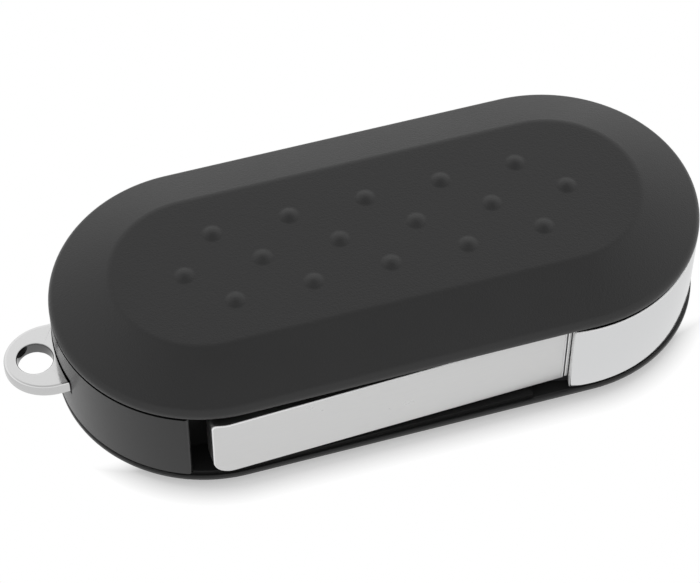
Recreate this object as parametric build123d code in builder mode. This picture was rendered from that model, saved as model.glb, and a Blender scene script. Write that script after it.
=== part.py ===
from build123d import *
from math import acos, atan, cos, degrees, radians, sin, sqrt
import os

os.makedirs("parts", exist_ok=True)

# A flip key fob shell, in millimetres. It lies on its button face at z = 0, with its length along X,
# the key-ring tab at -X, the hub that the blade turns with at +X and the blade's window at -Y.
# The origin is the middle of the plan, on the flat of the button face.

# Plan of the case: a straight run between two round ends
case_width = 34.0
end_spacing = 40.0
end_radius = case_width / 2
pivot_x = end_spacing / 2
left_end_x = -end_spacing / 2
hub_lip_out = 0.2

# Heights from the button face up to the flat of the back cover
front_bevel_rise = 1.2
lip_height = 0.7
wall_height = 10.7
cover_edge_height = 1.0
cover_bevel_rise = 2.9
frame_z = front_bevel_rise + lip_height
seam_z = frame_z + wall_height
cover_edge_z = seam_z + cover_edge_height
cover_top_z = cover_edge_z + cover_bevel_rise

# Walls, bevels and rounded edges of the mouldings
front_wall = 1.2
front_bevel_run = 5.0
front_crease_round = 5.0
lip_round = 0.25
frame_wall = 1.6
groove_height = 0.45
groove_depth = 0.4
seam_groove_height = 0.25
cover_wall = 1.3
cover_rim_wall = 1.4
cover_bevel_run = 6.8
cover_edge_round = 1.0
cover_crease_round = 2.0
cover_low_round = 0.2
seat_gap = 0.15

# Raised dots on the cover: three staggered rows
dot_pitch = 8.8
dot_row_pitch = 4.8
dot_radius = 1.0
dot_height = 0.32
dot_root = 0.3
dots_in_rows = (5, 6, 5)

# Tongues that locate the cover in the frame
tongue_width = 6.0
tongue_wall = 0.8
tongue_drop = 1.5
tongue_angle = 38.0
back_tongues_x = (-9.0, 3.0)

# Hub: a rotor that turns on the front case's tube, with a chromed band round it
band_wall = 1.1
band_round = 0.3
band_top_gap = 0.5
hub_gap = 0.4
hub_end_play = 0.15
washer_wall = 0.2
washer_inner_radius = 3.9
washer_outer_radius = 8.0
tube_radius = 8.6
tube_wall = 1.4
tube_top_gap = 0.35
running_fit = 0.05
rotor_roof = 1.4
rotor_wall = 1.2
rotor_rib = 1.2
rotor_rib_count = 8
rotor_core_height = 7.5
roof_hole_radius = 3.4
hub_radius = end_radius
rotor_radius = hub_radius - band_wall
hub_low_z = frame_z + hub_end_play
hub_high_z = seam_z - washer_wall - running_fit
band_top_z = seam_z - band_top_gap
roof_z = hub_high_z - rotor_roof

# Blade: an uncut blank, folded away with its tip swung slightly outwards
blade_length = 40.8
blade_height = 8.6
blade_thickness = 2.3
blade_z = 7.2
blade_tilt = 2.0
blade_recess = 1.2
blade_root_back = 3.05
blade_root_round = 0.5
blade_tip_round = 2.4
blade_nib_length = 1.75
blade_nib_height = 0.55
blade_nib_round = 0.45
blade_edge = 0.12
tang_length = 6.6
tang_height = 7.0
tang_lap = 0.9
tang_fit = 0.04
blade_pin_radius = 0.8
blade_pin_length = 4.2
blade_pin_sink = 0.35
band_start_back = 2.8
blade_side_gap = 0.15
tip_angle = radians(180 + blade_tilt)
blade_plane = Plane(
    origin=(pivot_x - blade_root_back, blade_recess - end_radius, blade_z),
    x_dir=(cos(tip_angle), sin(tip_angle), 0),
    z_dir=(-sin(radians(blade_tilt)), cos(radians(blade_tilt)), 0),
)

# Blade pocket along the window side
window_start_x = -25.8
window_edge_round = 0.5
pocket_depth = 4.6
pocket_wall = 1.2
pocket_floor = 0.6
pocket_roof = 0.6
pocket_roof_set_back = 3.0
pocket_end_wall = 1.2
pocket_face_y = pocket_depth - end_radius

# Bridge over the hub, inside the cover
bridge_wall = 0.9
bridge_radius = 13.2
bridge_reach = 20.2
hub_wall = 1.2
back_wall_end = 7.0
hub_bay_radius = hub_radius + hub_gap

# Screws that join the frame to the front case
screw_shank_radius = 0.7
screw_head_radius = 1.5
screw_head_height = 1.0
screw_head_round = 0.3
screw_length = 5.6
screw_seat_z = 7.6
screw_joint_z = 4.5
frame_boss_radius = 2.1
front_boss_radius = 1.7
boss_root = 0.2
screw_clearance = 0.2
end_boss_angle = 35.0
end_boss_from_wall = 1.8
back_boss_from_wall = 1.9
pocket_boss_from_wall = 1.6
hub_boss_from_bay = hub_wall + front_boss_radius + 2 * seat_gap
end_boss_out = end_radius - frame_wall - end_boss_from_wall
end_boss_x = left_end_x - end_boss_out * cos(radians(end_boss_angle))
end_boss_y = end_boss_out * sin(radians(end_boss_angle))
back_boss_y = end_radius - frame_wall - back_boss_from_wall
back_boss_x = pivot_x - sqrt((hub_bay_radius + hub_boss_from_bay) ** 2 - back_boss_y**2)
pocket_boss_y = pocket_face_y + pocket_wall + pocket_boss_from_wall
pocket_boss_x = pivot_x - sqrt((hub_bay_radius + hub_boss_from_bay) ** 2 - pocket_boss_y**2)
screw_points = [
    (end_boss_x, -end_boss_y),
    (end_boss_x, end_boss_y),
    (back_boss_x, back_boss_y),
    (pocket_boss_x, pocket_boss_y),
]

# Three key caps in a row and the silicone mat behind them
key_length = 7.6
key_width = 10.5
key_corner = 2.2
key_pitch = 9.4
key_row_from_end = 5.0
key_row_x = left_end_x + key_row_from_end
key_recess = 0.15
key_gap = 0.2
key_flange = 0.6
key_flange_height = 0.6
key_travel = 0.5
key_round = 0.3
mat_margin = 1.5
mat_corner = 2.5
mat_web = 0.5
mat_gap = 0.15
mat_length = 2 * key_pitch + key_length + 2 * mat_margin
mat_width = key_width + 2 * mat_margin
mat_top_z = front_wall + key_flange_height + key_travel + mat_web

# Release button, its ring and the lock behind it
release_hole_gap = 0.15
release_recess = 0.15
release_flange_width = 1.0
release_flange_height = 0.8
release_flange_gap = 0.05
release_travel = 1.5
release_dish = 0.35
release_edge = 0.25
release_rise = 0.75
spigot_radius = 3.0
spigot_height = 2.0
ring_width = 2.1
ring_recess = 0.1
ring_depth = 0.75
dog_wall = 1.0
dog_height = 2.9
dog_fit = 0.3
lug_width = 2.4
lug_height = 1.5
lug_base = 1.0
lug_set_back = 0.2
lug_slot_gap = 0.1
lug_count = 3
notch_depth = 0.9
press_gap = 0.02
tube_inner = tube_radius - tube_wall
release_flange_radius = tube_inner - dog_fit
release_radius = release_flange_radius - release_flange_width
ring_radius = release_radius + ring_width
lug_reach = tube_radius - lug_set_back
notch_radius = tube_radius + notch_depth

# Coil spring between the lock and the rotor's roof
spring_wire = 0.9
spring_clearance = 0.55
spring_turns = 4.5
spring_leg = 0.9
spring_leg_radius = 0.44
spring_radius = release_flange_radius - dog_wall - spring_clearance - spring_wire / 2

# Key-ring tab
tab_wall = 1.6
tab_drop = 5.2
tab_hole_radius = 2.0
tab_nose_wall = 1.46
tab_nose_length = 5.1
tab_hole_out = 2.35
tab_half_width = 4.4
tab_tail = 5.0
tab_tail_step = 0.4
tab_edge_round = 0.35
tab_hole_edge = 0.15
tab_slot_gap = 0.1
tab_slot_above = 0.6
tab_slot_below = 0.35
tab_slot_depth = 1.0
loop_block_width = 11.4
loop_block_length = 4.4
loop_block_top = 0.5
loop_pin_radius = 1.0
loop_pin_in = 1.8
tab_z = seam_z - tab_drop
hole_x = left_end_x - end_radius - tab_hole_out

# Tub for the owner's board and coin cell
tray_wall = 1.0
tray_floor = 0.8
tray_gap = 0.2
tray_end_gap = 0.6
tray_ledge = 3.2
tray_top_gap = 0.3
tray_corner = 1.5
contact_strip = 0.3
contact_width = 5.0
contact_spacing = 10.0
contact_from_key_row = 3.0
contact_foot = 1.6
contact_bend = 0.4
contact_negative_height = 2.6
contact_positive_height = 5.6


def half_section(x, points, corner_radii):
    """Face at x whose points are (distance out from the case's middle line, height)."""
    with BuildSketch(Plane.YZ.offset(x)) as section:
        with BuildLine():
            FilletPolyline(points, radius=corner_radii, close=True)
        make_face()
    return section.sketch


def carry_round(points, corner_radii, mode=Mode.ADD):
    """Add or cut the body made by carrying a half section round the whole outline of the case."""
    for x, turn in ((left_end_x, 180), (pivot_x, -180)):
        section = half_section(x, points, corner_radii)
        revolve(section, axis=Axis((x, 0, 0), (0, 0, 1)), revolution_arc=turn, mode=mode)
    other_half = mirror(section, about=Plane.XZ, mode=Mode.PRIVATE)
    extrude(section, amount=end_spacing, dir=(-1, 0, 0), mode=mode)
    extrude(other_half, amount=end_spacing, dir=(-1, 0, 0), mode=mode)


def at_pivot(height):
    """Horizontal plane centred on the hub's axis."""
    return Plane((pivot_x, 0, height))


# Back cover: a dished lid whose rim is bevelled up to a flat top
crease_radius = end_radius - cover_bevel_run
bevel_slope = cover_bevel_rise / cover_bevel_run
cover_inner_z = cover_top_z - cover_wall
cover_inner_crease = crease_radius - cover_wall * (sqrt(1 + bevel_slope**2) - 1) / bevel_slope
cover_rim_inner = end_radius - cover_rim_wall
cover_rim_inner_z = cover_inner_z - (cover_rim_inner - cover_inner_crease) * bevel_slope
dot_ball = (dot_radius**2 + dot_height**2) / (2 * dot_height)
tongue_outer = end_radius - frame_wall - seat_gap
tongue_middle = tongue_outer - tongue_wall / 2
tongue_height = tongue_drop + cover_edge_height
dot_rows = [
    ((index - (count - 1) / 2) * dot_pitch, (row - 1) * dot_row_pitch)
    for row, count in enumerate(dots_in_rows)
    for index in range(count)
]
with BuildPart() as back_cover:
    carry_round(
        [
            (0, cover_inner_z),
            (cover_inner_crease, cover_inner_z),
            (cover_rim_inner, cover_rim_inner_z),
            (cover_rim_inner, seam_z),
            (end_radius, seam_z),
            (end_radius, cover_edge_z),
            (crease_radius, cover_top_z),
            (0, cover_top_z),
        ],
        [0, 0, 0, 0, cover_low_round, cover_edge_round, cover_crease_round, 0],
    )
    # Locating tongues along the back and round the left end
    with BuildSketch(Plane.XY.offset(seam_z - tongue_drop)):
        with Locations([(tongue_x, tongue_middle) for tongue_x in back_tongues_x]):
            Rectangle(tongue_width, tongue_wall)
        with Locations((left_end_x, 0)):
            with PolarLocations(tongue_middle, 2, 180 - tongue_angle, 2 * tongue_angle, endpoint=True):
                Rectangle(tongue_wall, tongue_width)
        SlotCenterToCenter(end_spacing, 2 * tongue_outer, mode=Mode.INTERSECT)
    extrude(amount=tongue_height)
    # Raised dots, each the cap of a ball
    with BuildSketch(Plane.XZ) as dot_half:
        with Locations((0, cover_top_z + dot_height - dot_ball)):
            Circle(dot_ball)
        with Locations((0, cover_top_z - dot_root)):
            Rectangle(2 * dot_ball, 2 * dot_ball, align=(Align.CENTER, Align.MIN), mode=Mode.INTERSECT)
            Rectangle(dot_ball, 2 * dot_ball, align=(Align.MIN, Align.MIN), mode=Mode.INTERSECT)
    dot = revolve(dot_half.sketch, axis=Axis.Z, mode=Mode.PRIVATE)
    with Locations(dot_rows):
        add(dot)
back_cover.part.label = "back_cover"
export_step(back_cover.part, "parts/back_cover.step")


# Front case: a shallow dish with the button face, the hub's tube and the screw bosses
hub_lip_radius = end_radius + hub_lip_out
front_slope = front_bevel_rise / front_bevel_run
front_crease = end_radius - front_bevel_run
front_inner = end_radius - frame_wall - seat_gap
tube_top_z = roof_z - tube_top_gap
release_face_z = release_recess
release_flange_z = front_wall + release_flange_gap
release_flange_top = release_flange_z + release_flange_height
lug_z = release_flange_top + lug_base
key_points = [(key_row_x + step * key_pitch, 0) for step in (-1, 0, 1)]
with BuildPart() as front_case:
    # Lip and bevel, a little wider round the hub than round the other end
    with BuildSketch(Plane.XY.offset(front_bevel_rise)) as lip_outline:
        with Locations((left_end_x, 0)):
            Circle(end_radius)
        with Locations((pivot_x, 0)):
            Circle(hub_lip_radius)
        make_hull()
    extrude(amount=lip_height)
    extrude(lip_outline.sketch, amount=front_bevel_rise, dir=(0, 0, -1), taper=degrees(atan(1 / front_slope)))
    fillet(front_case.edges().group_by(Axis.Z)[0], front_crease_round)
    rims = front_case.edges().filter_by(lambda edge: edge.center().Z > front_bevel_rise - press_gap)
    fillet(rims.filter_by(Axis.Z, reverse=True), lip_round)
    # Dished inside
    carry_round(
        [
            (0, frame_z),
            (front_inner, frame_z),
            (front_crease, front_wall),
            (0, front_wall),
        ],
        [0, 0, 0, 0],
        mode=Mode.SUBTRACT,
    )
    # Tube that the rotor turns on
    with BuildSketch(at_pivot(front_wall / 2)):
        Circle(tube_radius)
        Circle(tube_inner, mode=Mode.SUBTRACT)
    extrude(amount=tube_top_z - front_wall / 2)
    with BuildSketch(at_pivot(lug_z - lug_slot_gap)):
        with PolarLocations(tube_radius - tube_wall / 2, lug_count):
            Rectangle(2 * tube_wall, lug_width + 2 * lug_slot_gap)
    extrude(amount=tube_top_z, mode=Mode.SUBTRACT)
    # Screw bosses with pilot holes
    with BuildSketch(Plane.XY.offset(front_wall - boss_root)):
        with Locations(screw_points):
            Circle(front_boss_radius)
    extrude(amount=screw_joint_z - front_wall + boss_root)
    with BuildSketch(Plane.XY.offset(screw_seat_z - screw_length - press_gap)):
        with Locations(screw_points):
            Circle(screw_shank_radius + press_gap)
    extrude(amount=screw_length, mode=Mode.SUBTRACT)
    # Openings for the release button, its ring and the three keys
    with BuildSketch(at_pivot(0)):
        Circle(release_radius + release_hole_gap)
    extrude(amount=front_wall, mode=Mode.SUBTRACT)
    with BuildSketch(at_pivot(0)):
        Circle(ring_radius + press_gap)
    extrude(amount=ring_depth, mode=Mode.SUBTRACT)
    with BuildSketch():
        with Locations(key_points):
            RectangleRounded(key_length + 2 * key_gap, key_width + 2 * key_gap, key_corner + key_gap)
    extrude(amount=front_wall, mode=Mode.SUBTRACT)
front_case.part.label = "front_case"
export_step(front_case.part, "parts/front_case.step")


# Mid frame: the side wall with the blade pocket, the wall round the hub and the bridge over it
frame_inner = end_radius - frame_wall
block_x = left_end_x - frame_inner
tail_x = left_end_x - end_radius + tab_tail
loop_pin_x = block_x + loop_pin_in
with BuildPart() as mid_frame:
    with BuildSketch(Plane.XY.offset(frame_z)):
        SlotCenterToCenter(end_spacing, case_width)
        SlotCenterToCenter(end_spacing, 2 * frame_inner, mode=Mode.SUBTRACT)
        with Locations((window_start_x - pocket_end_wall, pocket_face_y)):
            Rectangle(end_spacing, pocket_wall, align=(Align.MIN, Align.MIN))
            Rectangle(pocket_end_wall, pocket_depth, align=(Align.MIN, Align.MAX))
        with Locations((pivot_x, 0)):
            Circle(hub_bay_radius + hub_wall)
            Circle(hub_bay_radius, mode=Mode.SUBTRACT)
        with Locations((pivot_x - back_wall_end, 0)):
            Rectangle(end_spacing, case_width, align=(Align.MIN, Align.CENTER), mode=Mode.SUBTRACT)
        with Locations((window_start_x, pocket_face_y)):
            Rectangle(end_spacing, pocket_depth, align=(Align.MIN, Align.MAX), mode=Mode.SUBTRACT)
        SlotCenterToCenter(end_spacing, case_width, mode=Mode.INTERSECT)
    extrude(amount=wall_height)
    # Floor and set-back roof of the blade pocket
    with BuildSketch(Plane.XY.offset(frame_z)):
        with Locations((window_start_x - pocket_end_wall / 2, pocket_face_y + pocket_wall / 2)):
            Rectangle(end_spacing, case_width, align=(Align.MIN, Align.MAX))
        SlotCenterToCenter(end_spacing, 2 * (end_radius - groove_depth), mode=Mode.INTERSECT)
        with Locations((pivot_x, 0)):
            Circle(hub_bay_radius, mode=Mode.SUBTRACT)
        with Locations((pivot_x - back_wall_end, 0)):
            Rectangle(end_spacing, case_width, align=(Align.MIN, Align.CENTER), mode=Mode.SUBTRACT)
    extrude(amount=pocket_floor)
    with BuildSketch(Plane.XY.offset(seam_z - pocket_roof)):
        with Locations((window_start_x - pocket_end_wall / 2, pocket_face_y + pocket_wall / 2)):
            Rectangle(end_spacing, case_width, align=(Align.MIN, Align.MAX))
        SlotCenterToCenter(end_spacing, 2 * (end_radius - pocket_roof_set_back), mode=Mode.INTERSECT)
        with Locations((pivot_x, 0)):
            Circle(hub_bay_radius, mode=Mode.SUBTRACT)
        with Locations((pivot_x - back_wall_end, 0)):
            Rectangle(end_spacing, case_width, align=(Align.MIN, Align.CENTER), mode=Mode.SUBTRACT)
    extrude(amount=pocket_roof)
    # Bridge over the hub
    with BuildSketch(Plane.XY.offset(seam_z)):
        with Locations((pivot_x, 0)):
            Circle(bridge_radius)
            Rectangle(bridge_reach, 2 * bridge_radius, align=(Align.MAX, Align.CENTER))
    extrude(amount=bridge_wall)
    # Screw bosses, and room for the bosses of the front case under them
    with BuildSketch(Plane.XY.offset(screw_joint_z)):
        with Locations(screw_points):
            Circle(frame_boss_radius)
    extrude(amount=screw_seat_z - screw_joint_z)
    with BuildSketch(Plane.XY.offset(frame_z)):
        with Locations(screw_points):
            Circle(front_boss_radius + seat_gap)
    extrude(amount=screw_joint_z - frame_z, mode=Mode.SUBTRACT)
    # Block that holds the key-ring tab, with the slot for the tab and the hole for its pin
    with BuildSketch(Plane.XY.offset(frame_z)):
        with Locations((block_x - frame_wall, 0)):
            Rectangle(frame_wall + loop_block_length, loop_block_width, align=(Align.MIN, Align.CENTER))
        SlotCenterToCenter(end_spacing, case_width - frame_wall, mode=Mode.INTERSECT)
    extrude(amount=wall_height - loop_block_top)
    with BuildSketch(Plane.XY.offset(tab_z - tab_wall / 2 - tab_slot_gap)):
        with Locations((tail_x + tab_slot_gap, 0)):
            Rectangle(
                tab_tail + tab_slot_depth,
                2 * (tab_half_width - tab_tail_step + tab_slot_gap),
                align=(Align.MAX, Align.CENTER),
            )
    extrude(amount=tab_wall + 2 * tab_slot_gap, mode=Mode.SUBTRACT)
    with BuildSketch(Plane.XY.offset(tab_z - tab_wall / 2 - tab_slot_below)):
        with Locations((left_end_x - end_radius + tab_slot_depth, 0)):
            Rectangle(
                2 * tab_slot_depth, 2 * (tab_half_width + tab_slot_gap), align=(Align.MAX, Align.CENTER)
            )
    extrude(amount=tab_wall + tab_slot_below + tab_slot_above, mode=Mode.SUBTRACT)
    with BuildSketch(Plane.XY.offset(frame_z + pocket_wall)):
        with Locations((loop_pin_x, 0)):
            Circle(loop_pin_radius + press_gap)
    extrude(amount=wall_height, mode=Mode.SUBTRACT)
    # Screw holes
    with BuildSketch(Plane.XY.offset(frame_z)):
        with Locations(screw_points):
            Circle(screw_shank_radius + screw_clearance)
    extrude(amount=screw_seat_z - frame_z, mode=Mode.SUBTRACT)
    # Shadow grooves above the lip of the front case and under the edge of the cover
    for low_z, height in ((frame_z, groove_height), (seam_z - seam_groove_height, seam_groove_height)):
        with BuildSketch(Plane.XY.offset(low_z)):
            SlotCenterToCenter(end_spacing, 2 * case_width)
            SlotCenterToCenter(end_spacing, 2 * (end_radius - groove_depth), mode=Mode.SUBTRACT)
        extrude(amount=height, mode=Mode.SUBTRACT)
    # Rounded free ends of the side wall, at the window and at the hub
    uprights = mid_frame.edges().filter_by(Axis.Z).filter_by(lambda edge: edge.length > wall_height / 2)
    window_edge = uprights.filter_by(lambda edge: abs(edge.center().X - window_start_x) < press_gap)
    back_edge = uprights.filter_by(lambda edge: abs(edge.center().X - pivot_x + back_wall_end) < press_gap)
    fillet([window_edge.sort_by(Axis.Y)[0], back_edge.sort_by(Axis.Y)[-1]], window_edge_round)
mid_frame.part.label = "mid_frame"
export_step(mid_frame.part, "parts/mid_frame.step")


# Hub rotor: a cored drum with a bore for the tube, lock notches and a slot for the blade's tang
face_y_from_pivot = blade_recess - end_radius
face_offset = -face_y_from_pivot * cos(radians(blade_tilt))
face_offset -= blade_root_back * sin(radians(blade_tilt))
flip_angle = 180 - blade_tilt
bore_radius = tube_radius + running_fit
notch_top_z = lug_z + lug_height + lug_slot_gap
with BuildPart() as hub_rotor:
    with BuildSketch(at_pivot(hub_low_z)):
        Circle(rotor_radius)
    extrude(amount=hub_high_z - hub_low_z)
    with BuildSketch(at_pivot(hub_low_z)):
        Circle(bore_radius)
    extrude(amount=roof_z - hub_low_z, mode=Mode.SUBTRACT)
    with BuildSketch(at_pivot(roof_z)):
        Circle(roof_hole_radius)
    extrude(amount=rotor_roof, mode=Mode.SUBTRACT)
    # Free ring that the lugs turn in once the button is pressed, and the notches that they rise from
    with BuildSketch(at_pivot(notch_top_z)):
        Circle(notch_radius)
    extrude(amount=release_travel + lug_slot_gap, mode=Mode.SUBTRACT)
    with BuildSketch(at_pivot(hub_low_z)):
        for start in (0, -flip_angle):
            with PolarLocations(bore_radius, lug_count, start_angle=start):
                Rectangle(2 * (notch_radius - bore_radius), lug_width + 2 * lug_slot_gap)
    extrude(amount=notch_top_z - hub_low_z, mode=Mode.SUBTRACT)
    # Way out for the blade, slot for its tang and hole for its pin
    with BuildSketch(blade_plane.offset(-hub_radius / 2)):
        Rectangle(
            hub_radius, blade_height + 2 * blade_side_gap, align=(Align.MIN, Align.CENTER)
        )
    extrude(amount=hub_radius / 2 + blade_thickness + blade_side_gap, mode=Mode.SUBTRACT)
    with BuildSketch(blade_plane.offset(tang_lap - tang_fit)):
        Rectangle(
            tang_length + tang_fit, tang_height + 2 * tang_fit, align=(Align.MAX, Align.CENTER)
        )
    extrude(amount=blade_thickness - tang_lap + 2 * tang_fit, mode=Mode.SUBTRACT)
    with BuildSketch(blade_plane.offset(blade_pin_sink)):
        with Locations((-tang_length / 2, 0)):
            Circle(blade_pin_radius + press_gap)
    extrude(amount=blade_pin_length, mode=Mode.SUBTRACT)
    # Coring between ribs, which keeps the walls of the moulding even, clear of the blade's side
    with BuildSketch(at_pivot(hub_low_z)):
        Circle(rotor_radius - rotor_wall)
        Circle(notch_radius + rotor_wall, mode=Mode.SUBTRACT)
        with PolarLocations(rotor_radius, rotor_rib_count):
            Rectangle(rotor_radius, rotor_rib, mode=Mode.SUBTRACT)
        with Locations((0, face_y_from_pivot + blade_pin_sink + blade_pin_length + rotor_wall)):
            Rectangle(2 * hub_radius, hub_radius, align=(Align.CENTER, Align.MAX), mode=Mode.SUBTRACT)
    extrude(amount=rotor_core_height, mode=Mode.SUBTRACT)
    # Seat for the upper leg of the spring
    with BuildSketch(at_pivot(roof_z)):
        with Locations((-spring_radius, 0)):
            Circle(spring_wire / 2 + lug_slot_gap)
    extrude(amount=rotor_roof, mode=Mode.SUBTRACT)
hub_rotor.part.label = "hub_rotor"
export_step(hub_rotor.part, "parts/hub_rotor.step")


# Hub band: chromed skin of the rotor, left open only where the blade comes out
band_inner = rotor_radius + press_gap
band_start = 180 + degrees(acos(band_start_back / hub_radius))
band_stop = 270 + blade_tilt
band_stop -= degrees(acos((face_offset - blade_thickness - blade_side_gap) / hub_radius))
gap_reach = 2 * hub_radius
with BuildPart() as hub_band:
    with BuildSketch(at_pivot(hub_low_z)):
        Circle(hub_radius)
        Circle(band_inner, mode=Mode.SUBTRACT)
        with BuildLine():
            Polyline(
                (0, 0),
                (gap_reach * cos(radians(band_stop)), gap_reach * sin(radians(band_stop))),
                (gap_reach * cos(radians(band_start)), gap_reach * sin(radians(band_start))),
                close=True,
            )
        make_face(mode=Mode.SUBTRACT)
    extrude(amount=band_top_z - hub_low_z)
    rims = hub_band.edges().filter_by(GeomType.CIRCLE).filter_by(lambda edge: edge.radius > band_inner + press_gap)
    fillet(rims, band_round)
hub_band.part.label = "hub_band"
export_step(hub_band.part, "parts/hub_band.step")


# Blade: a flat uncut blank with a ground tip, and a tang half as thick inside the rotor
with BuildPart() as blade:
    with BuildSketch(blade_plane):
        with BuildLine():
            FilletPolyline(
                (0, -blade_height / 2),
                (blade_length, -blade_height / 2),
                (blade_length, blade_height / 2 + blade_nib_height),
                (blade_length - blade_nib_length, blade_height / 2),
                (0, blade_height / 2),
                radius=[0, blade_tip_round, blade_nib_round, blade_nib_length, 0],
                close=True,
            )
        make_face()
    extrude(amount=blade_thickness)
    # Rounded shoulder at the root and a fine bevel round the outer face
    root_edges = blade.edges().filter_by(Axis.Z).sort_by(Axis.X)[-2:]
    fillet(root_edges.sort_by(Axis.Y)[0], blade_root_round)
    outer_face = blade.faces().filter_by(GeomType.PLANE).sort_by(Axis.Y)[0]
    chamfer(outer_face.edges().sort_by(Axis.X)[:-1], blade_edge)
    with BuildSketch(blade_plane.offset(tang_lap)):
        Rectangle(tang_length, tang_height, align=(Align.MAX, Align.CENTER))
    extrude(amount=blade_thickness - tang_lap)
    with BuildSketch(blade_plane):
        with Locations((-tang_length / 2, 0)):
            Circle(blade_pin_radius + press_gap)
    extrude(amount=blade_thickness, mode=Mode.SUBTRACT)
blade.part.label = "blade"
export_step(blade.part, "parts/blade.step")

with BuildPart() as blade_pin:
    with BuildSketch(blade_plane.offset(blade_pin_sink)):
        with Locations((-tang_length / 2, 0)):
            Circle(blade_pin_radius)
            Circle(blade_pin_radius / 2, mode=Mode.SUBTRACT)
    extrude(amount=blade_pin_length)
blade_pin.part.label = "blade_pin"
export_step(blade_pin.part, "parts/blade_pin.step")

with BuildPart() as hub_washer:
    with BuildSketch(at_pivot(seam_z - washer_wall)):
        Circle(washer_outer_radius)
        Circle(washer_inner_radius, mode=Mode.SUBTRACT)
    extrude(amount=washer_wall)
hub_washer.part.label = "hub_washer"
export_step(hub_washer.part, "parts/hub_washer.step")


# Release button: a dished cap with a retaining flange and a spigot that is pressed into the lock
with BuildPart() as release_button:
    with BuildSketch(Plane.XZ.shift_origin((pivot_x, 0, 0))):
        with BuildLine():
            Polyline(
                (release_radius - release_edge, release_face_z),
                (release_radius, release_face_z + release_edge),
                (release_radius, release_flange_z),
                (release_flange_radius, release_flange_z),
                (release_flange_radius, release_flange_top),
                (spigot_radius, release_flange_top),
                (spigot_radius, release_flange_top + spigot_height),
                (0, release_flange_top + spigot_height),
                (0, release_face_z + release_dish),
            )
            ThreePointArc(
                (0, release_face_z + release_dish),
                ((release_radius - release_edge) / 2, release_face_z + release_rise * release_dish),
                (release_radius - release_edge, release_face_z),
            )
        make_face()
    revolve(axis=Axis((pivot_x, 0, 0), (0, 0, 1)))
release_button.part.label = "release_button"
export_step(release_button.part, "parts/release_button.step")

# Lock dog: a keyed sleeve whose lugs run in the slots of the tube
with BuildPart() as lock_dog:
    with BuildSketch(at_pivot(release_flange_top)):
        Circle(release_flange_radius)
    extrude(amount=dog_height)
    with BuildSketch(at_pivot(lug_z)):
        Circle(release_flange_radius - dog_wall)
    extrude(amount=dog_height, mode=Mode.SUBTRACT)
    with BuildSketch(at_pivot(lug_z)):
        with PolarLocations(release_flange_radius - dog_wall / 2, lug_count):
            Rectangle(
                lug_reach - release_flange_radius + dog_wall / 2,
                lug_width,
                align=(Align.MIN, Align.CENTER),
            )
    extrude(amount=lug_height)
    with BuildSketch(at_pivot(release_flange_top)):
        Circle(spigot_radius + press_gap)
        with Locations((spring_radius, 0)):
            Circle(spring_wire / 2 + lug_slot_gap)
    extrude(amount=lug_base, mode=Mode.SUBTRACT)
lock_dog.part.label = "lock_dog"
export_step(lock_dog.part, "parts/lock_dog.step")

with BuildPart() as release_ring:
    with BuildSketch(at_pivot(ring_recess)):
        Circle(ring_radius)
        Circle(release_radius + release_hole_gap, mode=Mode.SUBTRACT)
    extrude(amount=ring_depth - ring_recess)
    fillet(release_ring.edges().group_by(Axis.Z)[0], ring_recess)
release_ring.part.label = "release_ring"
export_step(release_ring.part, "parts/release_ring.step")


# Flip spring: turns about the hub's axis, with a leg into the lock and a leg into the rotor's roof
spring_low_z = lug_z + spring_wire / 2
spring_high_z = roof_z - spring_wire / 2
with BuildPart() as flip_spring:
    with BuildLine():
        coil = Helix(
            (spring_high_z - spring_low_z) / spring_turns,
            spring_high_z - spring_low_z,
            spring_radius,
            center=(pivot_x, 0, spring_low_z),
        )
    with BuildSketch(Plane(coil @ 0, z_dir=coil % 0)):
        Circle(spring_wire / 2)
    sweep()
    # Legs that stand in the lock and in the roof
    for end, side in ((coil @ 0, Align.MAX), (coil @ 1, Align.MIN)):
        with Locations(end):
            Cylinder(spring_leg_radius, spring_leg, align=(Align.CENTER, Align.CENTER, side))
flip_spring.part.label = "flip_spring"
export_step(flip_spring.part, "parts/flip_spring.step")


# Key caps and the mat behind them
flange_length = key_length + 2 * key_flange
flange_width = key_width + 2 * key_flange
flange_corner = key_corner + key_flange
for name, key_point in zip(("lock_button", "unlock_button", "boot_button"), key_points):
    with BuildPart() as key:
        with BuildSketch(Plane.XY.offset(key_recess)):
            with Locations(key_point):
                RectangleRounded(key_length, key_width, key_corner)
        extrude(amount=front_wall - key_recess)
        fillet(key.edges().group_by(Axis.Z)[0], key_round)
        with BuildSketch(Plane.XY.offset(front_wall)):
            with Locations(key_point):
                RectangleRounded(flange_length, flange_width, flange_corner)
        extrude(amount=key_flange_height)
    key.part.label = name
    export_step(key.part, "parts/" + name + ".step")

with BuildPart() as keypad_mat:
    with BuildSketch(Plane.XY.offset(front_wall)):
        with Locations((key_row_x, 0)):
            RectangleRounded(mat_length, mat_width, mat_corner)
    extrude(amount=mat_top_z - front_wall)
    with BuildSketch(Plane.XY.offset(front_wall)):
        with Locations(key_points):
            RectangleRounded(
                flange_length + 2 * mat_gap, flange_width + 2 * mat_gap, flange_corner + mat_gap
            )
    extrude(amount=key_flange_height + key_travel, mode=Mode.SUBTRACT)
keypad_mat.part.label = "keypad_mat"
export_step(keypad_mat.part, "parts/keypad_mat.step")


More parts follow.
